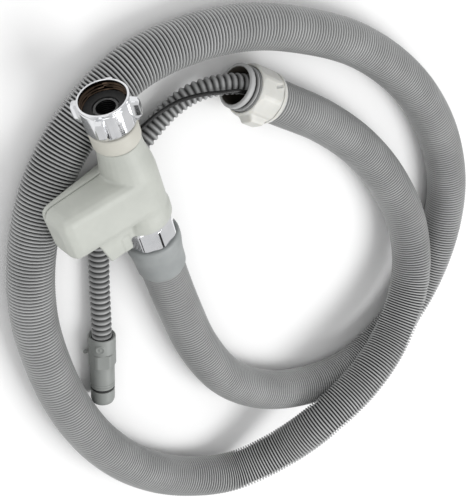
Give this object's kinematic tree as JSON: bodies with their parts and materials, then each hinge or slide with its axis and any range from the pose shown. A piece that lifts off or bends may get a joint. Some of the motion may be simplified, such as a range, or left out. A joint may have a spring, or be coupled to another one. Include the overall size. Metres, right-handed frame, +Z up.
{
  "type": "water-stop inlet hose",
  "caption": "Coiled corrugated double-wall inlet hose with a solenoid safety valve and tap nut at one end, and a small feed tube with a push-in coupling at the other.",
  "frame": {"origin": "centre of the coil's bounding box, on the floor that the hose lies on", "axes": "+Z up from the floor, +Y roughly along the valve from its tap nut to its cuff"},
  "size_m": [0.3458, 0.356, 0.0609],
  "materials": {
    "chrome": "polished chrome plate",
    "housing_plastic": "fine satin moulded plastic, pale grey",
    "cream_plastic": "satin moulded plastic, warm pale grey",
    "white_nylon": "moulded nylon, off white",
    "gland_nylon": "milky moulded nylon, slightly glossy",
    "hose_grey": "extruded corrugated plastic, mid grey",
    "soft_grey": "soft moulded cuff, satin grey",
    "coupling_grey": "moulded plastic, grey",
    "black_rubber": "matt black rubber",
    "cable_black": "glossy black cable jacket",
    "steel": "plated steel",
    "copper": "enamelled copper wire",
    "brass": "plain brass",
    "filter_mesh": "fine wire mesh"
  },
  "bodies": {
    "hose": {"housing_upper": "housing_plastic", "housing_lower": "housing_plastic", "inlet_collar": "cream_plastic", "valve_body": "white_nylon", "outlet_spigot": "white_nylon", "coil_bobbin": "white_nylon", "cable_plug": "white_nylon", "gland_ring": "gland_nylon", "gland_clip": "gland_nylon", "sleeve_hose": "hose_grey", "feed_tube": "hose_grey", "cuff": "soft_grey", "coupling_body": "coupling_grey", "coupling_collar": "coupling_grey", "coupling_cap": "coupling_grey", "inlet_washer": "black_rubber", "diaphragm": "black_rubber", "coupling_seal": "black_rubber", "valve_cable": "cable_black", "housing_screw_1": "steel", "housing_screw_2": "steel", "plunger_spring": "steel", "fixed_core": "steel", "coil_yoke": "steel", "coil_winding": "copper", "armature_tube": "brass", "coil_terminal_1": "brass", "coil_terminal_2": "brass", "tube_ferrule": "brass", "inlet_filter": "filter_mesh"},
    "tap_nut": {"inlet_nut": "chrome"},
    "union_nut": {"outlet_nut": "chrome"},
    "plunger": {"plunger": "steel"}
  },
  "joints": [
    {"name": "tap_nut_spin", "type": "hinge", "parent": "hose", "child": "tap_nut", "pos_m": [0.08338, -0.16569, 0.04532], "axis": [-0.0906, 0.9764, -0.1959], "continuous": true},
    {"name": "union_nut_spin", "type": "hinge", "parent": "hose", "child": "union_nut", "pos_m": [0.07487, -0.07391, 0.0269], "axis": [-0.0906, 0.9764, -0.1959], "continuous": true},
    {"name": "plunger_slide", "type": "slide", "parent": "hose", "child": "plunger", "axis": [0.9835, 0.1186, 0.1365], "range_m": [0, 0.0025], "stiffness_N_per_m": 120, "springref_m": -0.002, "deforming": ["plunger_spring"]}
  ]
}
